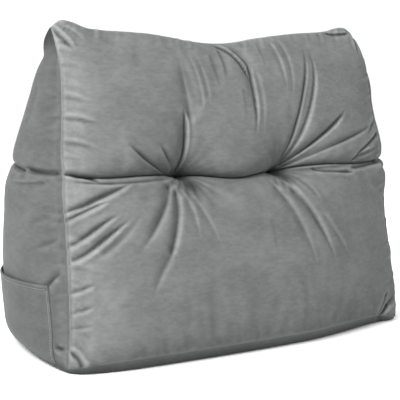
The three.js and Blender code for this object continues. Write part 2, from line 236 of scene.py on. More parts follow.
# The folds of an end: from a distance behind the front seam and a height, to the same
END_FOLDS = (
    (-8, 280, 54, 287, 3, 0, 6.4, 2.6, 2.4, 0.75),
    (44, 281, 150, 300, 2, 0, 4.4, 2.8, 1.8, 0.6),
    (10, 267, 84, 266, 3, 0, 2.0, 2.8, -1.2, 0.5),
    (-8, 154, 30, 110, -2, 0, 1.8, 3.0, 2.2, 0.8),
    (-8, 31, 42, 46, 4, 0, 3.4, 2.4, 1.8, 0.6),
    (-6, 196, 40, 172, 2, 0, 1.2, 4.0, 1.4, 0.5),
    (-6, 236, 44, 206, 2, 0, 0.8, 4.6, 0.8, 0.5),
    (30, 420, 60, 330, 6, 0, 0.8, 6.0, 0.6, 0.5),
)

# The empty bottom corners dimple in along an arc: side, radius, depth, half width
CORNER_DIMPLES = ((-1, 30, 5, 9), (1, 38, 8, 10))

# The small gathers round the tufts: place along the width, how many, phase. Then their height
# below and above the crease and on the back, and how far from a tuft they are highest.
FRONT_GATHERS = ((TUFTS[0], 19, 0.7), (TUFTS[1], 16, 2.1))
BACK_GATHERS = ((TUFTS[0], 13, 1.7), (TUFTS[1], 15, 0.3))
GATHER_BELOW, GATHER_ABOVE, GATHER_BACK, GATHER_PEAK = 0.55, 0.2, 0.5, 26

# The puckers along the seams: length of a wave, its height, how often the phase is added to it
PUCKER_WAVES = ((17, 1, 1), (26, 0.8, 3), (11, 0.5, 2))
PUCKER_SLANT, PUCKER_SWELL, PUCKER_REACH, PUCKER_HEIGHT = 0.35, 140, 11, 1.4
END_PUCKERS, BACK_PUCKERS, RIDGE_PUCKERS, FOOT_PUCKERS = 0.3, 0.8, 0.8, 0.3  # shares of it
SEAM_REACH = 7  # how far onto an end the small waves of its seams reach

CREASE_LINE, CREASE_LINE_SOFT = 3.2, 2.4  # the sharp line at the bottom of the crease
SAG_MIDDLE, SAG_SOFT, SAG_TUFT_SOFT = -10, 110, 20  # the sag is full here, and half at a tuft

# The pocket
POCKET_BOTTOM_T = 0.006
POCKET_BACK_Q = 0.94
POCKET_RUN = 238  # from its front edge to its back edge, over the end's bulge
POCKET_GAP = 0.4
# Its grid's lines behind its front edge and below its mouth
POCKET_EDGE_STEPS = np.array([0, 0.5, 1, 1.6, 2.3, 3, 3.8, 4.8, 6, 8])
POCKET_MOUTH_STEPS = np.array([0, 0.5, 1, 1.8, 2.8, 4, 5, 5.8, 6.5, 7, 7.6, 8.4, 9.4, 11])
POCKET_COLUMNS, POCKET_ROWS = 90, 54  # how many lines its grid has over the rest
HEM_THICKER, HEM_GROOVE, EDGE_GROOVE = 0.8, (1.1, 1.6), (0.7, 1.1)  # each groove's depth, width
STITCH_INSET, STITCH_PITCH, STITCH_LENGTH, THREAD = 3.4, 4.2, 3.0, 0.34

# The grid that the cloth is worked out on, and the finished one, which has twice as many shares
COLUMNS, ROWS, DEPTHS = 136, 112, 20
COARSE = (1, 2)  # the back and the base keep every second share
CLOTH_ROUNDS = 30  # how often the cloth's move is averaged to find the broad swelling in it
CLOTH_SMOOTHINGS = 2  # and then to take the finest crumpling out
CLOTH_CAP = 7
CLOTH_SHARE = 0.5
CLOTH_QUALITY, CLOTH_STIFFNESS = 6, 0.5
HOLD_STEPS = 20  # how many strengths of hold there are
HOLD_REACH = 12  # how far from a seam or a tuft the cloth is held
CREASE_HOLD, CREASE_HOLD_SOFT = 0.5, 7  # the crease is held partly
TIP_HOLD = (0.86, 0.93)  # and the ends' tips fully, from these shares of the way up
END_SHARE, END_FADE = 0.5, 6  # the ends take half of it, and less within this many rows of a seam

# The painted light and shade, and the pile's own tone on each panel
SHADES = np.array([1.0, 0.95, 0.68, 0.6, 0.84])  # each panel's tone: partly the pile lying differently on each, partly painted shade on the base and the ends
# The pocket's tone, partly painted shade like the left end's, and painted highlights along its
# front edge and its mouth
POCKET_SHADE, POCKET_FRONT_HIGHLIGHT, POCKET_EDGE_HIGHLIGHT = 0.6, 1.7, 1.5
FOOT_SEAM_SHARE = 0.4  # how much of the side seams' painted highlight the front bottom seam gets
# Painted highlight on ridges and painted shade in valleys: the rounds of averaging that measure the
# relief, the weight of the finest round, and the limits
RELIEF_SHADE_ROUNDS = 4
FINE_RELIEF_SHADE = 5
RELIEF_SHADE_LIMITS = 0.3, 1.5
# Painted light on the side that faces the key: the facing at which the colour is unchanged, and the
# least facing counted
MEAN_FACING, LEAST_FACING = 0.6, 0.1
EAR_PAINTED_SHADE, EAR_SHADE_HEIGHTS = 0.3, (455, 484)  # painted shade inside the ears of the ends
END_ROW_PAINTED_LIGHTS, FRONT_ROW_PAINTED_LIGHT = (1.7, 1.25, 1.1, 1.05), 1.1  # painted light on the rows beside the seams, against the shade of the groove they lie in
CRUSHED_PLACE, CRUSHED_REACH, CRUSHED_SHARE = (0.185, -0.05, 0.385), (0.02, 0.12), 0.11
# Painted shade round the tufts' holes: its darkness, its softness at each tuft, how far below the
# tuft it centres, and how far behind it still reaches
TUFT_PAINTED_SHADE, TUFT_SHADE_SOFTS, TUFT_SHADE_DROP, TUFT_SHADE_REACH = 0.8, (14, 11), 4, 60
FLOOR_PAINTED_SHADE, FLOOR_SHADE_HEIGHT = 0.3, 20  # painted shade: darkest where the cloth meets the floor, where the contact shadow falls
PAINTED_LIGHT_FACING = (-0.76, -0.52, 0.40)  # painted light: lightest where the cloth faces this way, towards the key light

# The velvet's mottling, from broad patches to grain: how many to the metre, detail, stretch, the
# range of the noise that shows, and the share of the mottling
MOTTLES = (
    (26, 4, (0.7, 0.7, 1), 0.35, 0.65, 1),
    (170, 6, (0.5, 0.5, 1.2), 0.32, 0.68, 1),
    (700, 2, (1, 1, 1), 0.3, 0.7, 0.5),
)
CRUSHED_MARKS, CRUSHED_RANGE = (240, 4, (1, 1, 1)), (0.46, 0.6)
PILE_CLUMPS, PILE_HAIRS, PILE_HEIGHT = (95, 5, (1, 1, 0.6)), (1400, 1, (1, 1, 1)), 0.0012
THREAD_TONES, THREAD_TWIST, THREAD_RELIEF = (("A", 2.2), ("B", 3.2)), 2600, 0.0001

# The stage. A lamp: name, place, size, share of the key light's power
FLOOR_REACH = 12000
SKY_LIGHT = 1.045
LAMPS = (
    ("key", (-1.65, -1.15, 1.75), 0.8, 1),
    ("fill", (1.2, -2.4, 1.5), 1.8, 0.08),
    ("back", (0.9, 2.3, 1.5), 1.8, 0.8),
)
LAMP_AIM = (0, 0, 0.28)
CAMERA_PLACE, CAMERA_TURNS = (-0.656, -1.179, 0.385), (83.07, 0, -27.76)
PHOTO_SIDE, FOCAL_PIXELS, SENSOR = 400, 817, 36


def lerp(start, end, share):
    return start + (end - start) * share


def bell(distance, soft):
    return np.exp(-((distance / soft) ** 2))


def cusp(distance, soft):
    return np.exp(-np.abs(distance) / soft)


def ease(low, high, value):
    share = np.clip((value - low) / (high - low), 0, 1)
    return share * share * (3 - 2 * share)


def read(rows, column, at):
    """A column of a table, along a smooth curve through its rows. The slope at a row is that of
    the chord between its neighbours."""
    keys, values = rows[:, 0], rows[:, column]
    k = np.searchsorted(keys[1:-1], at, side="left")
    before, after = np.maximum(k - 1, 0), np.minimum(k + 2, len(keys) - 1)
    span = keys[k + 1] - keys[k]
    s = np.clip((at - keys[k]) / span, 0, 1)
    start = (values[k + 1] - values[before]) / (keys[k + 1] - keys[before]) * span
    end = (values[after] - values[k]) / (keys[after] - keys[k]) * span
    bend = s * (1 - s) * (start * (1 - s) - end * s)
    return lerp(values[k], values[k + 1], s * s * (3 - 2 * s)) + bend


def spread(count, density):
    """Shares from 0 to 1 that lie closer together where the density is higher: equal steps of
    the density's running sum."""
    pieces = 400
    middles = (np.arange(pieces) + 0.5) / pieces
    sums = np.concatenate([[0], np.cumsum(density(middles))])
    return np.interp(np.linspace(0, sums[-1], count + 1), sums, np.linspace(0, 1, pieces + 1))


def along(u, t):
    """The place along the width of a share u of the half width, at a share t of the way up."""
    return u * np.where(u < 0, read(SIDE, LEFT, t), read(SIDE, RIGHT, t))


def front_foot(u):
    return read(FOOT, 1, u), lerp(FRONT_LIFT, CORNER_LIFT, u**8)


def back_foot(u):
    return BACK_FOOT + BACK_FOOT_BOW * (1 - u**4), BACK_LIFT + 0 * u


def ridge(u):
    return 0 * u, read(RIDGE, 1, u)


def from_seam(u):
    """The distance in from the nearer side seam."""
    return (1 - np.abs(u)) * HALF_WIDTH


def full_across(u):
    """How full the filling is across the width: the root of one less the share's fifth power."""
    return np.sqrt(1 - np.abs(u) ** 5)


def full_upward(t):
    """The same up a panel: the root of one less the fourth power of the way from its middle."""
    return np.sqrt(1 - (2 * t - 1) ** 4)


def panel_frame(foot, top):
    """The slope of a panel's section, as the y and z of a step of one up along it."""
    run = np.hypot(top[0] - foot[0], top[1] - foot[1])
    return (top[0] - foot[0]) / run, (top[1] - foot[1]) / run


def fold_relief(folds, x, z):
    """How deep the folds are at points. A plain fold is a bell valley along a bowed chord. One
    with a lip falls slowly into the valley, and rises steeply out of it to a lower bell that
    falls slowly again. All fade at both ends."""
    total = np.zeros(np.shape(x))
    for x0, z0, x1, z1, bow, skew, depth, width, lip, fading in folds:
        cx, cz = x1 - x0, z1 - z0
        length = math.hypot(cx, cz)
        s = ((x - x0) * cx + (z - z0) * cz) / length**2
        aside = ((x - x0) * cz - (z - z0) * cx) / length
        aside = aside - 4 * s * (1 - s) * (bow + skew * (2 * s - 1))
        fade = ease(0, 0.12, s) * (1 - ease(fading, 1, s))
        if lip:
            aside = aside * math.copysign(1, lip)
            wide = width * lerp(0.6, 1, fade)
            past = aside - LIP_PLACE * wide
            total += depth * bell(aside, np.where(aside < 0, SLOW, STEEP) * wide) * fade
            total -= abs(lip) * bell(past, np.where(past < 0, STEEP, SLOW) * wide) * fade
        else:
            total += depth * bell(aside, width) * fade
    return total


def gathers(x, z, tuft, count, phase):
    """Fine radial gathers round a tuft: a wave in the angle, uneven, that swells and dies out
    with the distance."""
    level = np.interp(tuft, CREASE[:, 0], CREASE[:, HEIGHT])
    away, angle = np.hypot(x - tuft, z - level), np.arctan2(z - level, x - tuft)
    wave = np.cos(count * angle + 1.4 * np.sin(2 * angle + phase) + phase)
    wave += 0.6 * np.cos((count - 5) * angle - 2.1 * np.sin(angle) + 2 * phase)
    return wave * (away / GATHER_PEAK) * np.exp(1 - away / GATHER_PEAK) * ease(4, 14, away)


def puckers(run, aside, phase):
    """Short puckers along a seam: three waves along it that rise beside it and die out."""
    slant = run + PUCKER_SLANT * aside
    wave = 0
    for length, high, times in PUCKER_WAVES:
        wave = wave + high * np.sin(slant * 2 * np.pi / length + times * phase)
    swell = 0.6 + 0.4 * np.sin(slant * 2 * np.pi / PUCKER_SWELL + phase)
    return wave * swell * ease(0, 3, aside) * np.exp(-aside / PUCKER_REACH) * PUCKER_HEIGHT


def front_surface(u, t, sizes, detail):
    """The front panel: the straight section from foot to ridge, moved out by the crown and in by
    the crease, the tufts and the folds, with the fill above the crease sagging over it."""
    foot, top = front_foot(u), ridge(u)
    up = panel_frame(foot, top)
    x, z = along(u, t), lerp(foot[1], top[1], t)
    off = z - read(CREASE, HEIGHT, x)
    seam = from_seam(u)
    draw = read(CREASE, DEPTH, x) * cusp(off, CREASE_SOFT)
    for tuft in TUFTS:
        away = np.hypot(x - tuft, off)
        draw = draw + sizes.tuft_depth / MM * cusp(away, TUFT_SOFT)
        draw = draw + TUFT_VALLEY * bell(away, TUFT_VALLEY_SOFT)
    draw = draw + fold_relief(BROAD_FOLDS, x, z)
    for side, radius, depth, soft in CORNER_DIMPLES:
        dimple = depth * bell(np.hypot(seam, z) - radius, soft)
        draw = draw + np.where(x * side > 0, dimple, 0)
    foot_fade, top_fade = ease(0, FOOT_RIM, t), 1 - ease(TOP_RIM, 1, t)
    lift = sizes.front_crown / MM * full_across(u) * full_upward(t)
    lift = lift - draw * lerp(0.1, 1, ease(0, RIM, seam) * foot_fade * top_fade)
    if detail:
        pucker = sizes.pucker_depth / MM
        line = CREASE_LINE * bell(off, CREASE_LINE_SOFT)
        sharp = fold_relief(SHARP_FOLDS, x, z) + line * ease(1.0, 0.93, np.abs(x) / HALF_WIDTH)
        lift = lift - sharp * sizes.fold_depth * lerp(0.5, 1, ease(0, 5, seam))
        below = lerp(GATHER_BELOW, GATHER_ABOVE, ease(-8, 8, off))
        for row in FRONT_GATHERS:
            lift = lift + below * sizes.fold_depth * gathers(x, z, *row)
        edge = np.where(x < 0, puckers(z, seam, 0.4), 1.6 * puckers(z, seam, 1.9))
        edge = edge * np.where(x < 0, lerp(1, 0.6, ease(0.5, 0.65, t)), 1)
        lift = lift + pucker * edge * foot_fade * top_fade
        hems = puckers(x, t * PANEL_RUN, 2.7) * FOOT_PUCKERS
        hems = hems + puckers(x, (1 - t) * PANEL_RUN, 5.1) * RIDGE_PUCKERS
        lift = lift + pucker * hems * ease(0, RIM, seam)
    above = np.maximum(0, off / SAG_HEIGHT)
    sag = CREASE_SAG * above * np.exp(1 - above) * full_across(u)
    if detail:
        sag = sag * lerp(0.5, 1, bell(x - SAG_MIDDLE, SAG_SOFT))
        for tuft in TUFTS:
            sag = sag * (1 - 0.5 * bell(x - tuft, SAG_TUFT_SOFT))
    y = lerp(foot[0], top[0], t)
    return np.stack([x, y - up[1] * lift - up[0] * sag, z + up[0] * lift - up[1] * sag], -1)


def back_surface(u, t, sizes, detail):
    """The back panel: the section from foot to ridge, bowed out with a plain crown, less a broad
    crease and two soft dimples where the tufts are stitched through."""
    foot, top = back_foot(u), ridge(u)
    up = panel_frame(foot, top)
    x, z = along(u, t) + u**3 * read(SIDE, WIDER, t), lerp(foot[1], top[1], t)
    off = z - read(CREASE, HEIGHT, x)
    draw = BACK_CREASE_DEPTH * bell(off, BACK_CREASE_SOFT)
    for tuft in TUFTS:
        draw = draw + BACK_TUFT_DEPTH * cusp(np.hypot(x - tuft, off), BACK_TUFT_SOFT)
    bow = BACK_SEAM_BOW * full_upward(t) * lerp(1, 0.7, t)
    crown = sizes.back_crown / MM * (1 - np.abs(2 * t - 1) ** 2.4) ** 0.7
    lift = bow + (crown - draw) * full_across(u)
    if detail:
        seam = from_seam(u)
        for row in BACK_GATHERS:
            lift = lift + GATHER_BACK * sizes.fold_depth * gathers(x, z, *row)
        hems = puckers(x, t * PANEL_RUN, 0.9) + puckers(x, (1 - t) * PANEL_RUN, 4.1)
        edge = puckers(z, seam, 3.3) * ease(0, FOOT_RIM, t) + hems * ease(0, RIM, seam)
        edge = BACK_PUCKERS * edge * (1 - ease(TOP_RIM, 1, t))
        lift = lift + sizes.pucker_depth / MM * edge
    return np.stack([x, lerp(foot[0], top[0], t) + up[1] * lift, z - up[0] * lift], -1)


def across_end(q):
    """How far an end stands out beyond its seams, full in the middle of its depth."""
    return (1 - np.abs(2 * q - 1) ** 2.2) ** 0.75


def base_surface(u, s):
    """The base: flat on the floor, rolled up to its seams along a quarter of an ellipse."""
    front, back = front_foot(u), back_foot(u)
    y = lerp(front[0], back[0], s)
    x = along(u, 0 * u) + END_FOOT_BOW * across_end(s) * u

    def roll(away, radius, lift):
        return lift * (1 - np.sqrt(1 - (1 - np.clip(away / radius, 0, 1)) ** 2))

    at_front = roll(y - front[0], FRONT_ROLL, front[1])
    at_back = roll(back[0] - y, BACK_ROLL, back[1])
    at_end = roll(from_seam(u), END_ROLL, CORNER_LIFT)
    return np.stack([x, y, np.maximum(np.maximum(at_front, at_back), at_end)], -1)


def end_surface(side, q, t, sizes, detail):
    """An end: straight lines from the front seam to the back seam, moved out by a crown that is
    full in the middle, less the groove of the crease and the folds."""
    u = side + 0 * t
    front, back = front_surface(u, t, sizes, False), back_surface(u, t, sizes, False)
    front_base = front_surface(u, 0 * t, sizes, False)
    back_base = back_surface(u, 0 * t, sizes, False)
    drop = base_surface(u, q)[..., 2] - lerp(front_base[..., 2], back_base[..., 2], q)
    groove = END_CREASE_DEPTH * cusp(t - CREASE_T, END_CREASE_SOFT)
    bulge = (read(END_CROWN, 1, t) - groove) * across_end(q)
    points = lerp(front, back, q[..., None])
    points[..., 2] += drop * (1 - t) ** 3
    if detail:
        run = back[..., 1] - front[..., 1]
        behind, before = q * run, (1 - q) * run
        relief = fold_relief(END_FOLDS, behind, points[..., 2])
        still = pocket_cover(points[..., 2], behind, before, sizes) if side < 0 else 0
        fine = puckers(points[..., 2], behind, 4.4) + 0.8 * puckers(points[..., 2], before, 5.5)
        fine = END_PUCKERS * fine * sizes.pucker_depth / MM
        fine = fine * ease(0, 0.06, t) * (1 - ease(0.85, 0.97, t))
        edge = ease(0, 5, behind) * ease(0, 5, before)
        bulge = bulge + (fine - relief * sizes.fold_depth * edge) * (1 - still)
        for seam, away, surface in ((front, behind, front_surface), (back, before, back_surface)):
            moved = surface(u, t, sizes, True) - seam
            points = points + moved * cusp(away, SEAM_REACH)[..., None]
    points[..., 0] += side * bulge
    return points


def pocket_cover(z, behind, before, sizes):
    """1 where the pocket lies on the end, 0 well outside it."""
    top = sizes.pocket_height / MM
    inside = 1 - ease(top - 8, top + 6, z)
    return inside * ease(sizes.pocket_setback / MM - 8, sizes.pocket_setback / MM, behind)


def panel_numbers(columns, rows, depths, coarse=()):
    """The vertex numbers of the five panels, each a grid: front, back, base, left end and right
    end. Neighbours share the numbers of the seam between them, and an end's top row is one
    point. Inside a coarse panel only every second row and column has vertices, and the rest
    hold -1."""
    front = np.arange((columns + 1) * (rows + 1)).reshape(columns + 1, rows + 1)
    total = front.size

    def fill(numbers, panel):
        nonlocal total
        inner = numbers[1:-1, 1:-1]
        if panel in coarse:
            inner[:] = -1
            inner = inner[1::2, 1::2]
        inner[:] = np.arange(total, total + inner.size).reshape(inner.shape)
        total += inner.size

    back = np.full((columns + 1, rows + 1), -1)
    back[:, -1] = front[:, -1]
    rim = [back[:, 0], back[0, 1:-1], back[-1, 1:-1]]
    for line in rim:
        line[:] = np.arange(total, total + line.size)
        total += line.size
    fill(back, 1)
    base = np.empty((columns + 1, depths + 1), int)
    base[:, 0], base[:, -1] = front[:, 0], back[:, 0]
    for line in (base[0, 1:-1], base[-1, 1:-1]):
        line[:] = np.arange(total, total + line.size)
        total += line.size
    fill(base, 2)
    ends = []
    for panel, column in ((3, 0), (4, columns)):
        end = np.empty((depths + 1, rows + 1), int)
        end[0], end[-1] = front[column], back[column]
        end[:, 0], end[:, -1] = base[column], front[column, -1]
        fill(end, panel)
        ends.append(end)
    return front, back, base, ends[0], ends[1]


def quads(numbers, turned):
    """The grid's cells as four vertex numbers each."""
    cells = [numbers[:-1, :-1], numbers[1:, :-1], numbers[1:, 1:], numbers[:-1, 1:]]
    if turned:
        cells.reverse()
    return np.stack([c.ravel() for c in cells], -1)


def wide_cells(numbers, turned):
    """A coarse grid's cells, two rows and two columns each, with the extra vertices that a cell
    at the rim shares with a finer neighbour."""
    low, high, odd = slice(0, -2, 2), slice(2, None, 2), slice(1, None, 2)
    ring = [
        numbers[low, low], numbers[odd, low], numbers[high, low], numbers[high, odd],
        numbers[high, high], numbers[odd, high], numbers[low, high], numbers[low, odd],
    ]
    if turned:
        ring.reverse()
    ring = np.stack([line.ravel() for line in ring], -1)
    corners = (ring >= 0).sum(1)
    faces = []
    for count in np.unique(corners):
        rows = ring[corners == count]
        faces += rows[rows >= 0].reshape(-1, count).tolist()
    return faces


def cover_faces(panels, coarse=()):
    """The panels' faces, outwards, and which panel each belongs to. The cells at an end's top
    are triangles."""
    faces, owners = [], []
    for panel, turned in enumerate((False, True, True, True, False)):
        numbers = panels[panel]
        if panel in coarse:
            found = wide_cells(numbers, turned)
        elif panel < 3:
            found = quads(numbers, turned).tolist()
        else:
            tips = np.stack([numbers[:-1, -2], numbers[1:, -2], numbers[:-1, -1]], -1)
            tips = tips[:, ::-1] if turned else tips
            found = quads(numbers[:, :-1], turned).tolist() + tips.tolist()
        faces += found
        owners += [panel] * len(found)
    return faces, np.array(owners)


def cover_shares(times):
    """The shares across, up and front to back, closer together at the tufts, the crease and the
    seams. With times=2 every second share is one that times=1 gives."""
    def across(share):
        u = 2 * share - 1
        near = bell(u * HALF_WIDTH - TUFTS[0], 40) + bell(u * HALF_WIDTH - TUFTS[1], 40)
        return 1 + 0.6 * near + 1.2 * bell(1 - np.abs(u), 0.05)

    def upward(t):
        return 1 + 1.1 * bell(t - CREASE_T, 0.06) + bell(t, 0.04) + bell(t - 1, 0.04)

    def backward(s):
        return 1 + 2 * bell(s, 0.16) + 2 * bell(s - 1, 0.1)

    return (
        2 * spread(COLUMNS * times, across) - 1,
        spread(ROWS * times, upward),
        spread(DEPTHS * times, backward),
    )


def cover_points(panels, shares, sizes, detail):
    """The places of all the cover's vertices."""
    u, t, s = shares
    points = np.empty((max(numbers.max() for numbers in panels) + 1, 3))
    across, up = np.meshgrid(u, t, indexing="ij")
    q, rise = np.meshgrid(s, t, indexing="ij")
    surfaces = (
        front_surface(across, up, sizes, detail),
        back_surface(across, up, sizes, detail),
        base_surface(*np.meshgrid(u, s, indexing="ij")),
        end_surface(-1, q, rise, sizes, detail),
        end_surface(1, q, rise, sizes, detail),
    )
    for numbers, surface in reversed(list(zip(panels, surfaces))):
        points[numbers[numbers >= 0]] = surface[numbers >= 0]
    return points


def finer(grid):
    """A grid of offsets with a new row between each two: nine parts of each neighbour less one
    part of each next one, out of sixteen."""
    for _ in range(2):
        padded = np.concatenate([2 * grid[:1] - grid[1:2], grid, 2 * grid[-1:] - grid[-2:-1]])
        between = (9 * (padded[1:-2] + padded[2:-1]) - padded[:-3] - padded[3:]) / 16
        made = np.empty((2 * len(grid) - 1, *grid.shape[1:]))
        made[::2], made[1::2] = grid, between
        grid = made.swapaxes(0, 1)
    return grid


def linked(name, data):
    """A new object of the scene that holds the data."""
    made = bpy.data.objects.new(name, data)
    bpy.context.scene.collection.objects.link(made)
    return made


def make_piece(name, points, faces, material, smooth=True):
    """Points in millimetres and faces as an object at the origin, with its material."""
    mesh = bpy.data.meshes.new(name)
    mesh.from_pydata((points * MM).tolist(), [], faces)
    mesh.validate()
    mesh.polygons.foreach_set("use_smooth", np.full(len(mesh.polygons), smooth))
    if material:
        mesh.materials.append(material)
    return linked(name, mesh)


def fetched(items, name, wide=1, kind=float):
    """One property of all the items of a mesh, as an array with a row for each."""
    values = np.empty(len(items) * wide, kind)
    items.foreach_get(name, values)
    return values.reshape(-1, wide) if wide > 1 else values


def neighbours_mean(values, links):
    """Each vertex's mean over the vertices that it is joined to."""
    start, end = np.concatenate([links, links[:, ::-1]]).T
    counts = np.bincount(start, minlength=len(values))
    sums = [np.bincount(start, values[end, k], len(values)) for k in range(values.shape[1])]
    return np.stack(sums, -1) / counts[:, None]


def paint_nap_and_light(mesh, shades, look, seams=(), tufts=(), rims=(), painted_row_lights=()):
    """Keeps painted light and shade on each corner: its face's shade, which is partly the pile's
    own tone and partly painted shade, times a painted highlight on a ridge and painted shade in a
    valley. The measure of both is how far a vertex stands out from the mean of those round it. It
    adds painted light where the cloth faces the key light and beside the seams, painted shade
    towards the floor and round the tufts, and a painted highlight along the seams."""
    places = fetched(mesh.vertices, "co", 3) / MM
    normals = fetched(mesh.vertex_normals, "vector", 3)
    links = fetched(mesh.edges, "vertices", 2, int)
    mean, values = places, 1
    # Painted highlight on ridges and painted shade in valleys, from how far each vertex stands out
    for number in range(1, RELIEF_SHADE_ROUNDS + 1):
        mean = neighbours_mean(mean, links)
        if number in (1, RELIEF_SHADE_ROUNDS):
            proud = ((places - mean) * normals).sum(1)
            proud[list(rims)] = 0
            proud = (proud + neighbours_mean(proud[:, None], links)[:, 0]) / 2
            change = np.where(proud > 0, look.ridge_highlight, look.valley_shade) * proud
            values = values + change * (FINE_RELIEF_SHADE if number == 1 else 1)
    values = np.clip(values, *RELIEF_SHADE_LIMITS)
    # Painted light: lighter where the cloth faces the key light, darker where it faces away
    facing = np.maximum(normals @ np.array(PAINTED_LIGHT_FACING), LEAST_FACING)
    values *= 1 + look.painted_facing_light * (facing - MEAN_FACING)
    # Painted shade: darker towards the floor, where the contact shadow falls
    if len(tufts):
        values *= lerp(FLOOR_PAINTED_SHADE, 1, ease(0, FLOOR_SHADE_HEIGHT, places[:, 2]))
    # Painted shade round the tufts' holes
    for tuft, soft in zip(tufts, TUFT_SHADE_SOFTS):
        away = np.hypot(places[:, 0] - tuft[0], places[:, 2] - tuft[2] + TUFT_SHADE_DROP)
        values *= 1 - TUFT_PAINTED_SHADE * bell(away, soft) * (places[:, 1] < tuft[1] + TUFT_SHADE_REACH)
    # Painted light on the rows beside the seams
    for line, factor in painted_row_lights:
        values[line] *= factor
    # Painted highlight along the seams
    for line, share in seams:
        values[line] = lerp(1, look.seam_highlight, share)
    corners = fetched(mesh.loops, "vertex_index", kind=int)
    counts = fetched(mesh.polygons, "loop_total", kind=int)
    values = (values[corners] * np.repeat(shades, counts)).astype(np.float32)
    mesh.attributes.new("nap_and_painted_light", "FLOAT", "CORNER").data.foreach_set("value", values)


def set_inputs(tree, node, values):
    """Sets the inputs of a node to the values, and links those whose value is a socket."""
    for key, value in values.items():
        if isinstance(value, bpy.types.NodeSocket):
            tree.links.new(value, node.inputs[key])
        else:
            node.inputs[key].default_value = value


def new_material(name, roughness, specular):
    """A new material with its node tree, its shader node, and a function that adds a node with
    the values of its inputs and its settings."""
    material = bpy.data.materials.new(name)
    material.use_nodes = True
    tree = material.node_tree
    shader = tree.nodes["Principled BSDF"]
    set_inputs(tree, shader, {"Roughness": roughness, "Specular IOR Level": specular})

    def add(kind, values, **settings):
        node = tree.nodes.new(kind)
        for key, value in settings.items():
            setattr(node, key, value)
        set_inputs(tree, node, values)
        return node.outputs

    return material, tree, shader, add


def velvet(name, look):
    """Short-piled velvet: a mottled cool grey, patches of crushed pile that are lighter or
    darker, a soft sheen, and a fine pile in the bump."""
    material, tree, cloth, add = new_material(name, look.roughness, 0.12)
    place = add("ShaderNodeTexCoord", {})["Object"]

    def noise(scale, detail, stretch):
        turned = add("ShaderNodeMapping", {"Vector": place, "Scale": stretch})["Vector"]
        values = {"Vector": turned, "Scale": scale, "Detail": detail, "Roughness": 0.6}
        return add("ShaderNodeTexNoise", values)["Fac"]

    def worked(operation, first, second):
        return add("ShaderNodeMath", {0: first, 1: second}, operation=operation)[0]

    def ranged(value, low, high, start, end):
        values = {"Value": value, "From Min": low, "From Max": high, "To Min": start, "To Max": end}
        return add("ShaderNodeMapRange", values)["Result"]

    light = 1
    for scale, detail, stretch, low, high, share in MOTTLES:
        span = share * look.mottling
        mottle = ranged(noise(scale, detail, stretch), low, high, 1 - span, 1 + span)
        light = worked("MULTIPLY", light, mottle)
    away = add("ShaderNodeVectorMath", {0: place, 1: CRUSHED_PLACE}, operation="DISTANCE")["Value"]
    near = ranged(away, *CRUSHED_REACH, CRUSHED_SHARE, 0)
    marks = ranged(noise(*CRUSHED_MARKS), *CRUSHED_RANGE, 0, 1)
    light = worked("ADD", light, worked("MULTIPLY", near, marks))
    # The painted light and shade kept on each corner, which scales the colour
    nap_and_painted_light = add("ShaderNodeAttribute", {}, attribute_name="nap_and_painted_light")["Fac"]
    tone = {0: look.colour[:3], "Scale": worked("MULTIPLY", light, nap_and_painted_light)}
    height = worked("ADD", noise(*PILE_CLUMPS), noise(*PILE_HAIRS))
    pile = {"Strength": look.pile, "Distance": PILE_HEIGHT, "Height": height}
    set_inputs(tree, cloth, {
        "Base Color": add("ShaderNodeVectorMath", tone, operation="SCALE")["Vector"],
        "Normal": add("ShaderNodeBump", pile)["Normal"],
        "Sheen Weight": look.sheen,
        "Sheen Roughness": look.sheen_roughness,
        "Sheen Tint": (0.95, 0.98, 0.97, 1),
    })
    return material


def thread(name, look):
    """Matt sewing thread, a little lighter than the velvet, with a fine twist along it."""
    material, tree, shader, add = new_material(name, 0.7, 0.3)
    place = add("ShaderNodeTexCoord", {})["Object"]
    twist = add("ShaderNodeTexNoise", {"Vector": place, "Scale": THREAD_TWIST})["Fac"]
    tones = {key: [share * part for part in look.colour[:3]] + [1] for key, share in THREAD_TONES}
    relief = {"Distance": THREAD_RELIEF, "Height": twist}
    set_inputs(tree, shader, {
        "Base Color": add("ShaderNodeMix", {**tones, "Factor": twist}, data_type="RGBA")["Result"],
        "Normal": add("ShaderNodeBump", relief)["Normal"],
    })
    return material


def metres(name, description, default):
    """A length that a user may change."""
    return FloatProperty(name=name, description=description, default=default, unit="LENGTH")


def share_of(name, description, default):
    """A share or a strength that a user may change."""
    return FloatProperty(name=name, description=description, default=default, subtype="FACTOR")


def colour_of(name, description, *default):
    """A colour that a user may change."""
    return FloatVectorProperty(
        name=name, description=description, default=default, size=4, subtype="COLOR", min=0, max=1,
    )


class CushionSizes(PropertyGroup):
    """The sizes of the filled cover and of its pocket."""

    front_crown: metres("Front crown", "How far the filling stands out in front", 0.043)
    back_crown: metres("Back crown", "How far the filling stands out behind", 0.044)
    tuft_depth: metres("Tuft depth", "How deep the two tufts are pulled into the crease", 0.040)
    fold_depth: share_of("Fold depth", "Depth of the sharp folds and gathers, as a share", 1.0)
    pucker_depth: metres("Pucker depth", "Height of the puckers along the seams", 0.0009)
    pocket_height: metres("Pocket height", "Height of the pocket's mouth above the floor", 0.121)
    pocket_setback: metres(
        "Pocket setback", "From the front seam back to the pocket's front edge", 0.022,
    )
    pocket_cloth: metres("Pocket cloth", "Thickness of the pocket's cloth", 0.002)
    pocket_hem: metres("Pocket hem", "Depth of the folded hem along the mouth", 0.007)
    pocket_gape: metres("Pocket gape", "How far the mouth stands off in its middle", 0.0045)
    pressure: FloatProperty(
        name="Pressure", description="How hard the filling presses while the cloth settles",
        default=4,
    )
    slack: share_of("Slack", "How much too large the cover is cut, as a share", 0.03)
    fill: FloatProperty(
        name="Fill", description="How full the cover is, from slack to tight",
        default=0.85, min=0, max=1, subtype="FACTOR",
    )


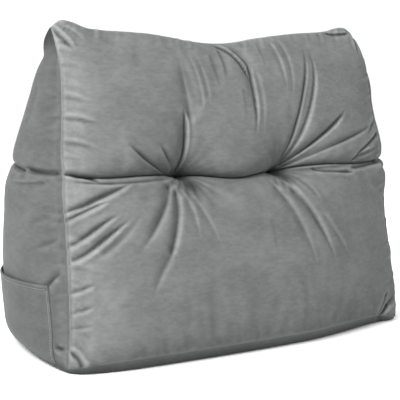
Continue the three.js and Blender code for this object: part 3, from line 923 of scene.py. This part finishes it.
class CushionLook(PropertyGroup):
    """The colours and the finish of the velvet and of the stage."""

    colour: colour_of("Velvet", "Colour of the velvet", 0.112, 0.1163, 0.115, 1)
    mottling: share_of("Mottling", "How much the crushed pile varies in lightness", 0.1)
    pile: share_of("Pile", "Strength of the pile's relief", 0.35)
    roughness: share_of("Roughness", "Roughness of the pile", 0.9)
    sheen: share_of("Sheen", "How much the pile shines at its edges", 0.14)
    sheen_roughness: share_of("Sheen roughness", "How wide that shine is", 0.4)
    floor: colour_of("Floor", "Colour of the floor", 0.965, 0.965, 0.965, 1)
    key_power: FloatProperty(
        name="Key light", description="Power of the soft light from the front left",
        default=66, unit="POWER",
    )
    # Painted light: the pile is painted lighter where the cloth faces the key light
    painted_facing_light: share_of("Lean", "How much lighter the pile looks where it leans to the light", 0.6)
    # Painted highlight along the side seams
    seam_highlight: share_of("Seam lightness", "How light the pile is along the side seams", 1.35)
    # Painted highlight on ridges and painted shade in valleys
    ridge_highlight: FloatProperty(
        name="Ridge lightness", description="How much lighter the pile is for each millimetre "
        "that a ridge stands out", default=0.22,
    )
    valley_shade: FloatProperty(
        name="Valley darkness", description="How much darker it is for each millimetre of valley",
        default=0.24,
    )
    frames: IntProperty(
        name="Cloth frames", description="How long the cloth settles", default=20,
    )


def held_share(panels, shares, sizes):
    """How firmly each vertex is held while the cloth settles: fully at the seams, the tufts, on
    the base, at the tips of the ends and under the pocket, and partly along the crease."""
    u, t, s = shares
    held = np.zeros(max(numbers.max() for numbers in panels) + 1)
    across, up = np.meshgrid(u, t, indexing="ij")
    for numbers in panels[:2]:
        x = along(across, up)
        off = lerp(FRONT_LIFT, read(RIDGE, 1, across), up) - read(CREASE, HEIGHT, x)
        firm = CREASE_HOLD * bell(off, CREASE_HOLD_SOFT)
        for tuft in TUFTS:
            firm = np.maximum(firm, bell(np.hypot(x - tuft, off), HOLD_REACH))
        held[numbers] = np.maximum(firm, ease(HOLD_REACH, 0, from_seam(across)))
    for numbers, side in ((panels[3], -1), (panels[4], 1)):
        q, up = np.meshgrid(s, t, indexing="ij")
        points = end_surface(side, q, up, sizes, False)
        behind, before = q * END_RUN, (1 - q) * END_RUN
        firm = np.maximum(ease(HOLD_REACH, 0, behind), ease(HOLD_REACH, 0, before))
        firm = np.maximum(firm, ease(*TIP_HOLD, up))
        if side < 0:
            firm = np.maximum(firm, pocket_cover(points[..., 2], behind, before, sizes))
        held[numbers] = firm
    held[panels[2]] = 1
    for numbers in panels[:2]:
        held[numbers[[0, -1]]], held[numbers[:, [0, -1]]] = 1, 1
    return np.clip(held, 0, 1)


def settled_cloth(panels, shares, sizes, look):
    """What the cloth adds to the filled shape: the cover, cut a little too large, is blown up by
    its filling while its seams, tufts and base are held. The broad swelling is taken out again,
    because the filled shape has it already, and so is any move past the cap."""
    points = cover_points(panels, shares, sizes, False)
    faces, _ = cover_faces(panels)
    held = held_share(panels, shares, sizes)
    piece = make_piece("cloth_rest", points, faces, None)
    group = piece.vertex_groups.new(name="held")
    steps = np.round(held * HOLD_STEPS).astype(int)
    for step in range(1, HOLD_STEPS + 1):
        group.add(np.flatnonzero(steps == step).tolist(), step / HOLD_STEPS, "REPLACE")
    cloth = piece.modifiers.new("cloth", "CLOTH").settings
    cloth.quality = CLOTH_QUALITY
    cloth.vertex_group_mass = "held"
    cloth.use_pressure = True
    cloth.uniform_pressure_force = sizes.pressure
    cloth.shrink_min = -sizes.slack
    cloth.bending_stiffness = CLOTH_STIFFNESS
    cloth.effector_weights.gravity = 0
    scene = bpy.context.scene
    for number in range(1, look.frames + 1):
        scene.frame_set(number)
    found = piece.evaluated_get(bpy.context.evaluated_depsgraph_get()).data
    moved = broad = fetched(found.vertices, "co", 3) / MM - points
    scene.frame_set(1)
    links = fetched(piece.data.edges, "vertices", 2, int)
    bpy.data.objects.remove(piece)
    for _ in range(CLOTH_ROUNDS):
        broad = neighbours_mean(broad, links)
    wrinkles = moved - broad
    for _ in range(CLOTH_SMOOTHINGS):
        wrinkles = neighbours_mean(wrinkles, links)
    wrinkles = wrinkles * (1 - held[:, None])
    behind = np.arange(1, DEPTHS)
    share = END_SHARE * ease(0, END_FADE, np.minimum(behind, DEPTHS - behind))
    for numbers in panels[3:]:
        wrinkles[numbers[1:-1, 1:-1]] *= share[:, None, None]
    length = np.linalg.norm(wrinkles, axis=1, keepdims=True)
    kept = CLOTH_SHARE * CLOTH_CAP * np.tanh(length / CLOTH_CAP) / np.maximum(length, 1e-9)
    return wrinkles * kept


class CUSHION_OT_cover(Operator):
    """Makes the filled cover: front, back, base and two ends, sewn edge to edge"""

    bl_idname = "cushion.cover"
    bl_label = "Make the cover"

    def execute(self, context):
        sizes, look = context.scene.cushion_sizes, context.scene.cushion_look
        fine = panel_numbers(2 * COLUMNS, 2 * ROWS, 2 * DEPTHS, COARSE)
        points = cover_points(fine, cover_shares(2), sizes, True)
        faces, owners = cover_faces(fine, COARSE)
        coarse = panel_numbers(COLUMNS, ROWS, DEPTHS)
        wrinkles = settled_cloth(coarse, cover_shares(1), sizes, look)
        added = np.zeros_like(points)
        for numbers, rough in zip(fine, coarse):
            added[numbers[numbers >= 0]] = finer(wrinkles[rough])[numbers >= 0]
        points += added
        piece = make_piece("cushion_cover", points, faces, velvet("velvet", look))
        # The tufts' holes, round which shade is painted
        holes = np.array(TUFTS) / TUFT_HALF_WIDTH
        holes = front_surface(holes, np.full(2, CREASE_T), sizes, True)
        front, back, base = fine[:3]
        rims = [back[:, 0], back[0], back[-1], front[:, 0], front[:, -1], base[0]]
        rims = np.concatenate(rims + [end[share] for end in fine[3:] for share in (1, 2)])
        # Painted highlight along the side seams, and less along the front bottom seam
        seams = ((front[[0, -1]].ravel(), 1), (front[:, 0], FOOT_SEAM_SHARE))
        # Painted shade inside the ears of the ends
        middles = fetched(piece.data.polygons, "center", 3)
        ears = 1 - EAR_PAINTED_SHADE * ease(*EAR_SHADE_HEIGHTS, middles[:, 2] / MM)
        shades = SHADES[owners] * np.where(owners > 2, ears, 1)
        # Painted light on the rows beside the seams, against the shade of their groove
        painted_row_lights = [(front[1:4], FRONT_ROW_PAINTED_LIGHT)]
        painted_row_lights += [pair for end in fine[3:] for pair in zip(end[1:], END_ROW_PAINTED_LIGHTS)]
        paint_nap_and_light(piece.data, shades, look, seams, holes, rims, painted_row_lights)
        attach(piece, "root")
        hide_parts("cushion")
        return {"FINISHED"}


def shell_area(points):
    """The area of a grid of points, as the sum of its cells' two triangles."""
    a, b, c, d = points[:-1, :-1], points[1:, :-1], points[1:, 1:], points[:-1, 1:]
    first = np.linalg.norm(np.cross(b - a, c - a), axis=-1)
    return (first.sum() + np.linalg.norm(np.cross(c - a, d - a), axis=-1).sum()) / 2


def pocket_high(sizes):
    """From the pocket's foot up to its mouth."""
    return sizes.pocket_height / MM - CORNER_LIFT


def pocket_grid(a, b, sizes):
    """The shares q and t on the left end of the pocket's points: a runs back from its front
    edge, which keeps its distance from the front seam, and b up from its foot to its mouth."""
    top = sizes.pocket_height / MM

    def share_at(q, height):
        low, high = np.zeros(np.shape(q)), np.full(np.shape(q), 0.5)
        for _ in range(30):
            middle = (low + high) / 2
            under = end_surface(-1, q, middle, sizes, False)[..., 2] < height
            low, high = np.where(under, middle, low), np.where(under, high, middle)
        return low

    def front_share(t):
        u = -1 + 0 * t
        back, front = back_surface(u, t, sizes, False), front_surface(u, t, sizes, False)
        return sizes.pocket_setback / MM / (back[..., 1] - front[..., 1])

    mouth_start = front_share(share_at(0 * a, top))
    mouth = share_at(lerp(mouth_start, POCKET_BACK_Q, a), top)
    t = lerp(POCKET_BOTTOM_T, mouth, b)
    return lerp(front_share(t), POCKET_BACK_Q, a), t


def pocket_surface(a, b, rise, sizes):
    """The pocket: the end's surface, moved out along its normal by the cloth's rise and by how
    far the mouth gapes, which is most at the middle of the mouth."""
    q, t = pocket_grid(a, b, sizes)
    step = 1e-3
    here = end_surface(-1, q, t, sizes, False)
    along_q = end_surface(-1, q + step, t, sizes, False) - here
    along_t = end_surface(-1, q, t + step, sizes, False) - here
    normal = np.cross(along_t, along_q)
    normal /= np.linalg.norm(normal, axis=-1, keepdims=True)
    gape = sizes.pocket_gape / MM * np.sin(np.pi * a) ** 2 * np.sin(np.pi / 2 * b)
    return here + normal * (rise + gape)[..., None]


def pocket_thickness(a, b, sizes):
    """How thick the pocket is: thicker along the folded hem, with a groove where the hem and the
    front edge are stitched, and thin along its turned edges."""
    below, behind = (1 - b) * pocket_high(sizes), a * POCKET_RUN
    hem = sizes.pocket_hem / MM
    thick = sizes.pocket_cloth / MM + HEM_THICKER * (1 - ease(hem - 0.5, hem + 1.5, below))
    for (deep, wide), away in ((HEM_GROOVE, below - hem), (EDGE_GROOVE, behind - STITCH_INSET)):
        thick = thick - deep * bell(away, wide)
    return thick * lerp(0.45, 1, ease(0, 2, behind)) * lerp(0.6, 1, ease(0, 1.5, below))


def stitch_row(a, b, sizes):
    """A row of stitches along a line on the pocket, from start points and end points: each is a
    closed roll of thread, round across and bluntly rounded at its ends."""
    lay = pocket_surface(a, b, POCKET_GAP + pocket_thickness(a, b, sizes) + THREAD / 2, sizes)
    start, end = lay[0::2], lay[1::2]
    run = end - start
    run /= np.linalg.norm(run, axis=-1, keepdims=True)
    outwards = np.broadcast_to(np.array([-1.0, 0, 0]), run.shape)
    aside = np.cross(run, outwards)
    aside /= np.linalg.norm(aside, axis=-1, keepdims=True)
    proud = np.cross(aside, run)
    share = np.array([0, 0.12, 0.5, 0.88, 1])
    radius = THREAD * np.array([0.4, 0.9, 1, 0.9, 0.4])
    turn = np.arange(6) * np.pi / 3
    middle = lerp(start[:, None, None], end[:, None, None], share[None, :, None, None])
    across = aside[:, None, None] * np.cos(turn)[:, None]
    across = across + proud[:, None, None] * np.sin(turn)[:, None]
    return middle + across * radius[None, :, None, None]


class CUSHION_OT_pocket(Operator):
    """Makes the patch pocket on the left end, with its folded hem and its stitching"""

    bl_idname = "cushion.pocket"
    bl_label = "Make the pocket"

    def execute(self, context):
        sizes, look = context.scene.cushion_sizes, context.scene.cushion_look
        near = POCKET_EDGE_STEPS / POCKET_RUN
        fine = POCKET_MOUTH_STEPS / pocket_high(sizes)
        a = np.concatenate([near, np.linspace(near[-1], 1, POCKET_COLUMNS)[1:]])
        b = np.concatenate([np.linspace(0, 1 - fine[-1], POCKET_ROWS)[:-1], 1 - fine[::-1]])
        a, b = np.meshgrid(a, b, indexing="ij")
        thick = pocket_thickness(a, b, sizes)
        inner = pocket_surface(a, b, POCKET_GAP + 0 * a, sizes)
        outer = pocket_surface(a, b, POCKET_GAP + thick, sizes)
        area = shell_area(pocket_surface(a, b, POCKET_GAP + thick / 2, sizes))
        one = np.arange(a.size).reshape(a.shape)
        two = one + a.size
        faces = quads(one, False).tolist() + quads(two, True).tolist()
        for edge_one, edge_two in (
            (one[:, 0], two[:, 0]), (two[:, -1], one[:, -1]), (two[0], one[0]), (one[-1], two[-1]),
        ):
            faces += quads(np.stack([edge_two, edge_one]), False).tolist()
        points = np.concatenate([inner.reshape(-1, 3), outer.reshape(-1, 3)])
        piece = make_piece("pocket_cloth", points, faces, velvet("pocket_velvet", look))
        # Painted highlights along the pocket's front edge and its mouth
        edges = (
            (two[:3].ravel(), POCKET_FRONT_HIGHLIGHT),
            (two[:, -3:].ravel(), POCKET_EDGE_HIGHLIGHT), (one[0], POCKET_EDGE_HIGHLIGHT),
        )
        paint_nap_and_light(piece.data, np.full(len(piece.data.polygons), POCKET_SHADE), look, edges)
        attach(piece, "root")
        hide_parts("pocket")
        wide = np.linalg.norm(np.diff(outer, axis=0), axis=-1).sum(0).max()
        stitches = self.stitches(sizes, look, wide)
        return {"FINISHED"}

    def stitches(self, sizes, look, wide):
        """The rows of stitches along the hem and the front edge, as one piece."""
        high = pocket_high(sizes)
        level = 1 - sizes.pocket_hem / MM / high
        rows = []
        for run, low, top, hem in ((wide, 0.02, 0.98, True), (high, 0.05, level - 0.02, False)):
            starts = np.arange(low * run, top * run, STITCH_PITCH)
            ends = np.stack([starts, starts + STITCH_LENGTH], -1).ravel() / run
            still = np.full(len(ends), level if hem else STITCH_INSET / POCKET_RUN)
            rows.append(stitch_row(*((ends, still) if hem else (still, ends)), sizes))
        points = np.concatenate(rows)
        count, rings, sides = points.shape[:3]
        numbers = np.arange(count * rings * sides).reshape(count, rings, sides)
        faces = quads(np.concatenate([numbers, numbers[:, :, :1]], 2).T, False).tolist()
        faces += numbers[:, 0, ::-1].tolist() + numbers[:, -1].tolist()
        piece = make_piece("pocket_stitches", points.reshape(-1, 3), faces, thread("thread", look))
        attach(piece, "root")
        return piece


class CUSHION_OT_stage(Operator):
    """Sets up the pale floor, the soft light and the camera"""

    bl_idname = "cushion.stage"
    bl_label = "Make the stage"

    def execute(self, context):
        look, scene = context.scene.cushion_look, context.scene
        corners = np.array([(-1, -1, 0), (1, -1, 0), (1, 1, 0), (-1, 1, 0)]) * FLOOR_REACH
        paint, tree, shader, _ = new_material("floor_paint", 0.9, 0)
        set_inputs(tree, shader, {"Base Color": look.floor})
        floor = make_piece("floor", corners, [(0, 1, 2, 3)], paint, smooth=False)
        scene.world = bpy.data.worlds.new("studio")
        scene.world.use_nodes = True
        tree = scene.world.node_tree
        sky = {"Color": (1, 1, 1, 1), "Strength": SKY_LIGHT}
        set_inputs(tree, tree.nodes["Background"], sky)
        for name, place, size, share in LAMPS:
            lamp = bpy.data.lights.new(name, "AREA")
            lamp.energy, lamp.size = share * look.key_power, size
            holder = linked(name, lamp)
            holder.location = place
            holder.rotation_mode = "QUATERNION"
            aim = Vector(LAMP_AIM) - Vector(place)
            holder.rotation_quaternion = aim.to_track_quat("-Z", "Y")
        lens = bpy.data.cameras.new("camera")
        lens.sensor_width, lens.lens = SENSOR, FOCAL_PIXELS / PHOTO_SIDE * SENSOR
        scene.camera = linked("camera", lens)
        scene.camera.location = CAMERA_PLACE
        scene.camera.rotation_euler = [math.radians(turn) for turn in CAMERA_TURNS]
        scene.view_settings.view_transform = "Standard"
        return {"FINISHED"}


class CUSHION_PT_panel(Panel):
    """Lists the pieces of the cushion"""

    bl_idname = "CUSHION_PT_panel"
    bl_label = "Triangular cushion"
    bl_space_type = "VIEW_3D"
    bl_region_type = "UI"
    bl_category = "Cushion"

    def draw(self, context):
        for kind in MAKERS:
            self.layout.operator(kind.bl_idname)
        for group in (context.scene.cushion_sizes, context.scene.cushion_look):
            column = self.layout.column()
            for name in group.__annotations__:
                column.prop(group, name)


MAKERS = (CUSHION_OT_cover, CUSHION_OT_pocket, CUSHION_OT_stage)
CLASSES = (CushionSizes, CushionLook, *MAKERS, CUSHION_PT_panel)


def register():
    for kind in CLASSES:
        bpy.utils.register_class(kind)
    bpy.types.Scene.cushion_sizes = PointerProperty(type=CushionSizes)
    bpy.types.Scene.cushion_look = PointerProperty(type=CushionLook)


def unregister():
    del bpy.types.Scene.cushion_look
    del bpy.types.Scene.cushion_sizes
    for kind in reversed(CLASSES):
        bpy.utils.unregister_class(kind)


def main():
    """Makes the pieces in order."""
    register()
    bpy.ops.cushion.cover()
    bpy.ops.cushion.pocket()
    bpy.ops.cushion.stage()


if __name__ == "__main__":
    main()
